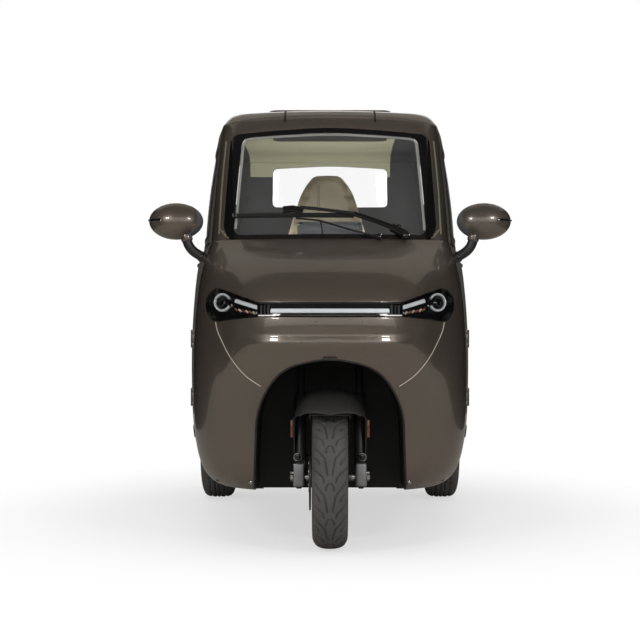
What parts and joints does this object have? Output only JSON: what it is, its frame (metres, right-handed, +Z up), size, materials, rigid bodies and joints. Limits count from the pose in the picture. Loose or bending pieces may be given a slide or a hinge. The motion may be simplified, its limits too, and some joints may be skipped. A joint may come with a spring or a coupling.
{
  "type": "enclosed electric tricycle",
  "caption": "Closed cabin electric passenger tricycle with a steered front wheel on a fork, side doors, a boot lid and a roof hatch.",
  "frame": {"origin": "on the ground under the middle of the vehicle's box", "axes": "+Z up, -Y towards the front, +X towards the driver's left"},
  "size_m": [1.256, 2.2992, 1.533],
  "materials": {
    "body_paint": "metallic brown paint under clear coat",
    "gloss_black": "gloss black moulding",
    "trim_black": "satin black moulding",
    "liner_black": "moulded black liner",
    "frame_black": "black powder coat",
    "floor_grey": "grained floor lining",
    "interior_grey": "grained dark grey moulding",
    "seat_leather": "stitched beige seat covering",
    "lamp_lens": "dark lamp housing under a clear lens",
    "tail_lens": "red lamp lens",
    "glass": "clear safety glass",
    "battery_black": "battery case",
    "axle_black": "painted casting",
    "spring_steel": "painted spring steel",
    "fork_metal": "black and dark grey fork finish",
    "alloy": "machined and painted alloy",
    "tyre": "black rubber"
  },
  "bodies": {
    "body": {"chassis_frame": "frame_black", "floor_pan": "floor_grey", "rear_wheel_wells": "liner_black", "front_wheel_well": "liner_black", "nose_panel": "body_paint", "front_corner_left": "body_paint", "front_corner_right": "body_paint", "bonnet": "body_paint", "light_bar": "gloss_black", "headlamp_left": "lamp_lens", "headlamp_right": "lamp_lens", "windscreen_surround": "gloss_black", "windscreen": "glass", "windscreen_pillars": "body_paint", "roof": "body_paint", "roof_hatch": "body_paint", "body_side_left": "body_paint", "body_side_right": "body_paint", "quarter_glass": "glass", "rear_panel": "body_paint", "rear_window": "glass", "tail_lamps": "tail_lens", "dashboard": "interior_grey", "seat_bases": "interior_grey", "battery": "battery_black", "driver_seat_cushion": "seat_leather", "driver_seat_back": "seat_leather", "rear_bench_cushion": "seat_leather", "rear_bench_back": "seat_leather", "rear_axle": "axle_black", "rear_springs": "spring_steel", "wiper": "trim_black", "mirror_left": "body_paint", "mirror_right": "body_paint"},
    "steering": {"steering_fork": "fork_metal", "front_mudguard": "trim_black", "handlebar": "frame_black"},
    "front_wheel": {"front_rim": "alloy", "front_tyre": "tyre"},
    "rear_wheel_left": {"rear_rim_left": "alloy", "rear_tyre_left": "tyre"},
    "rear_wheel_right": {"rear_rim_right": "alloy", "rear_tyre_right": "tyre"},
    "door_left": {"door_left": "body_paint", "door_glass_left": "glass"},
    "door_right": {"door_right": "body_paint", "door_glass_right": "glass"},
    "boot_lid_panel": {"boot_lid": "body_paint"}
  },
  "joints": [
    {"name": "steering_turn", "type": "hinge", "parent": "body", "child": "steering", "pos_m": [0, -0.867, 0.2365], "axis": [0, 0.342, 0.9397], "range_deg": [-32, 32]},
    {"name": "front_wheel_spin", "type": "hinge", "parent": "steering", "child": "front_wheel", "pos_m": [0, -0.867, 0.2365], "axis": [1, 0, 0], "continuous": true},
    {"name": "rear_left_spin", "type": "hinge", "parent": "body", "child": "rear_wheel_left", "pos_m": [0.475, 0.733, 0.247], "axis": [1, 0, 0], "continuous": true},
    {"name": "rear_right_spin", "type": "hinge", "parent": "body", "child": "rear_wheel_right", "pos_m": [-0.475, 0.733, 0.247], "axis": [1, 0, 0], "continuous": true},
    {"name": "door_left_swing", "type": "hinge", "parent": "body", "child": "door_left", "pos_m": [0.494, -0.397, 0.585], "axis": [0, 0, -1], "range_deg": [0, 70]},
    {"name": "door_right_swing", "type": "hinge", "parent": "body", "child": "door_right", "pos_m": [-0.494, -0.397, 0.585], "axis": [0, 0, 1], "range_deg": [0, 70]},
    {"name": "boot_lid_lift", "type": "hinge", "parent": "body", "child": "boot_lid_panel", "pos_m": [0, 1.119, 0.928], "axis": [1, 0, 0], "range_deg": [0, 80]}
  ]
}
